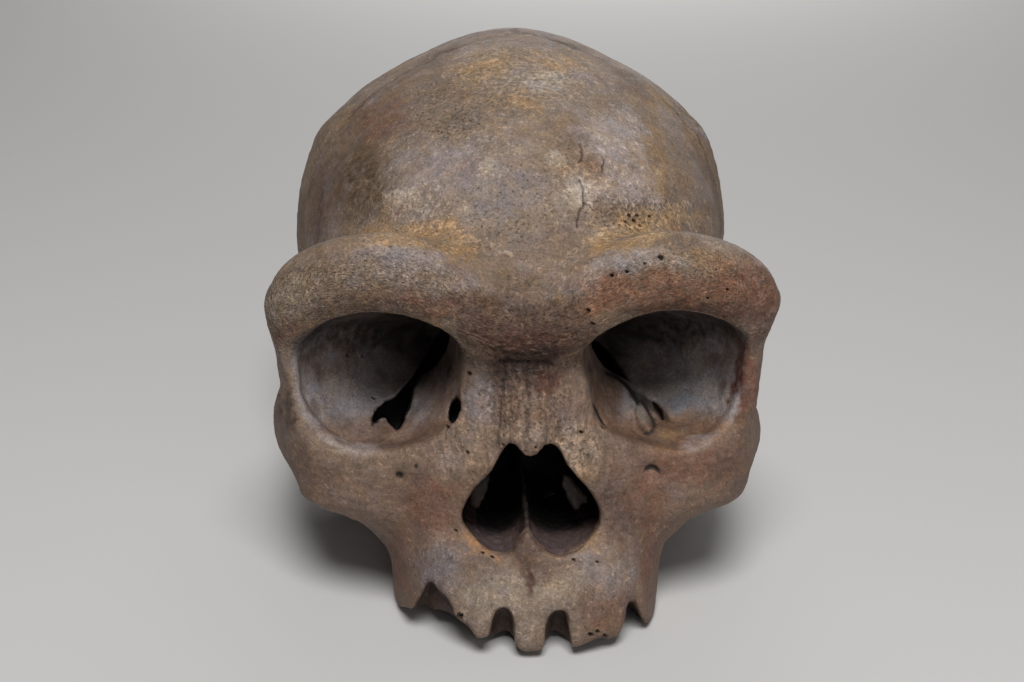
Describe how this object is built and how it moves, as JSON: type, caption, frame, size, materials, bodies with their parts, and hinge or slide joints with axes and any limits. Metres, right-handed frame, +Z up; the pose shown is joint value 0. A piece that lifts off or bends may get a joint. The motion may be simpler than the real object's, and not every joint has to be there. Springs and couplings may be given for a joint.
{
  "type": "fossil hominin cranium",
  "caption": "Fossil cranium of an archaic human, without jaw or teeth, with a heavy brow bar, open eye sockets, a pear-shaped nose opening and broken empty tooth sockets.",
  "frame": {"origin": "middle of the bounding box on the ground, z = 0 being the plane that the gums and mastoids rest on", "axes": "+Z up, +Y towards the back of the skull, the face looks along -Y, +X to the right of someone who faces it"},
  "size_m": [0.1507, 0.2305, 0.1514],
  "materials": {
    "fossil_bone": "brown mineralised bone, mottled ochre, cream and lilac grey, finely pitted, dull with a faint sheen on worn bone"
  },
  "bodies": {
    "root": {"cranium": "fossil_bone"}
  },
  "joints": []
}
